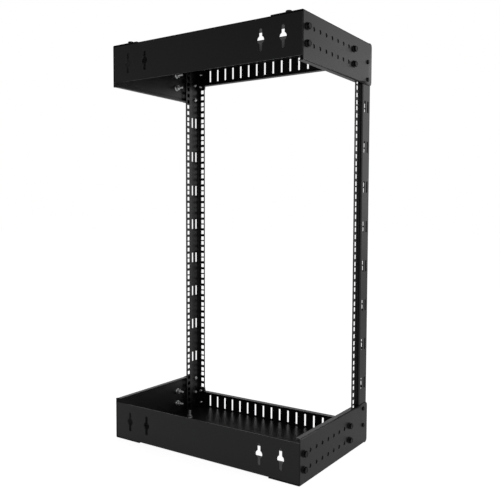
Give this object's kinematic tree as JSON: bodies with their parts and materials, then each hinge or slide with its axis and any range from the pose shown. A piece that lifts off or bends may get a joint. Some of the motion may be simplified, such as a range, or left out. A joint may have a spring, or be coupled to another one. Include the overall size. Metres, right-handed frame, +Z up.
{
  "type": "two post open frame rack",
  "caption": "Wall-mounted open frame rack: two upright rails with square holes between two depth-adjustable sheet metal frames with keyholes and slotted front trays.",
  "frame": {"origin": "middle of the underside of the whole rack, where it stands on a floor", "axes": "+X to the rack's right seen from the wall side, +Y from the wall to the rails, +Z up"},
  "size_m": [0.509, 0.3146, 0.9115],
  "materials": {
    "black_powder_coat": "fine-texture black powder coat, semi-gloss",
    "black_fastener": "black oxide, semi-gloss",
    "zinc_plate": "bright zinc plate"
  },
  "bodies": {
    "root": {"bottom_wall_plate": "black_powder_coat", "top_wall_plate": "black_powder_coat", "bottom_slotted_tray": "black_powder_coat", "top_slotted_tray": "black_powder_coat", "left_post": "black_powder_coat", "right_post": "black_powder_coat", "bottom_left_side_bracket": "black_powder_coat", "bottom_right_side_bracket": "black_powder_coat", "top_left_side_bracket": "black_powder_coat", "top_right_side_bracket": "black_powder_coat", "bottom_left_wall_bolts": "black_fastener", "bottom_left_frame_bolts": "black_fastener", "bottom_left_post_screws": "black_fastener", "bottom_left_front_screws": "black_fastener", "bottom_right_wall_bolts": "black_fastener", "bottom_right_frame_bolts": "black_fastener", "bottom_right_post_screws": "black_fastener", "bottom_right_front_screws": "black_fastener", "top_left_wall_bolts": "black_fastener", "top_left_frame_bolts": "black_fastener", "top_left_post_screws": "black_fastener", "top_left_front_screws": "black_fastener", "top_left_flange_bolts": "black_fastener", "top_right_wall_bolts": "black_fastener", "top_right_frame_bolts": "black_fastener", "top_right_post_screws": "black_fastener", "top_right_front_screws": "black_fastener", "top_right_flange_bolts": "black_fastener", "bottom_left_flange_studs": "zinc_plate", "bottom_right_flange_studs": "zinc_plate"}
  },
  "joints": []
}
